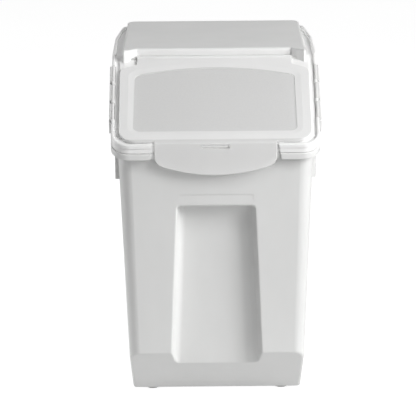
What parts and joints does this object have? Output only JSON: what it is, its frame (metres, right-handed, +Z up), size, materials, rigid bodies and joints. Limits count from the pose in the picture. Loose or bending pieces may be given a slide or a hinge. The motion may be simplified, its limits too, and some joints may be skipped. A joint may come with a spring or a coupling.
{
  "type": "pet food bin",
  "caption": "Tall slant-top pet food bin with tapered body, clip-on lid, tongue-latched scoop flap and side latches.",
  "frame": {"origin": "on the floor, under the middle of the bin's bounding box", "axes": "+X to the bin's right as seen from its front, +Y from the front to the back, +Z up"},
  "size_m": [0.287, 0.42, 0.464],
  "materials": {
    "white_plastic": "satin moulded polypropylene",
    "lid_plastic": "satin translucent polypropylene",
    "frosted_plastic": "frosted translucent polypropylene",
    "latch_plastic": "satin moulded plastic",
    "pin_plastic": "smooth moulded plastic",
    "seal_rubber": "soft silicone",
    "foot_rubber": "matte rubber"
  },
  "bodies": {
    "bin": {"bin_body": "white_plastic", "lid_frame": "lid_plastic", "rim_seal": "seal_rubber", "flap_pin_left": "pin_plastic", "flap_pin_right": "pin_plastic", "latch_pin_left": "pin_plastic", "latch_pin_right": "pin_plastic", "foot_front_left": "foot_rubber", "foot_front_right": "foot_rubber", "foot_rear_left": "foot_rubber", "foot_rear_right": "foot_rubber"},
    "flap": {"flap": "frosted_plastic"},
    "latch_left": {"side_latch_left": "latch_plastic"},
    "latch_right": {"side_latch_right": "latch_plastic"}
  },
  "joints": [
    {"name": "flap_hinge", "type": "hinge", "parent": "bin", "child": "flap", "pos_m": [0, -0.0237, 0.4495], "axis": [-1, 0, 0], "range_deg": [0, 115]},
    {"name": "latch_left_hinge", "type": "hinge", "parent": "bin", "child": "latch_left", "pos_m": [-0.13783, -0.09599, 0.4178], "axis": [-0.014, 0.9186, 0.395], "range_deg": [0, 90]},
    {"name": "latch_right_hinge", "type": "hinge", "parent": "bin", "child": "latch_right", "pos_m": [0.13783, -0.09599, 0.4178], "axis": [-0.014, -0.9186, -0.395], "range_deg": [0, 90]}
  ]
}
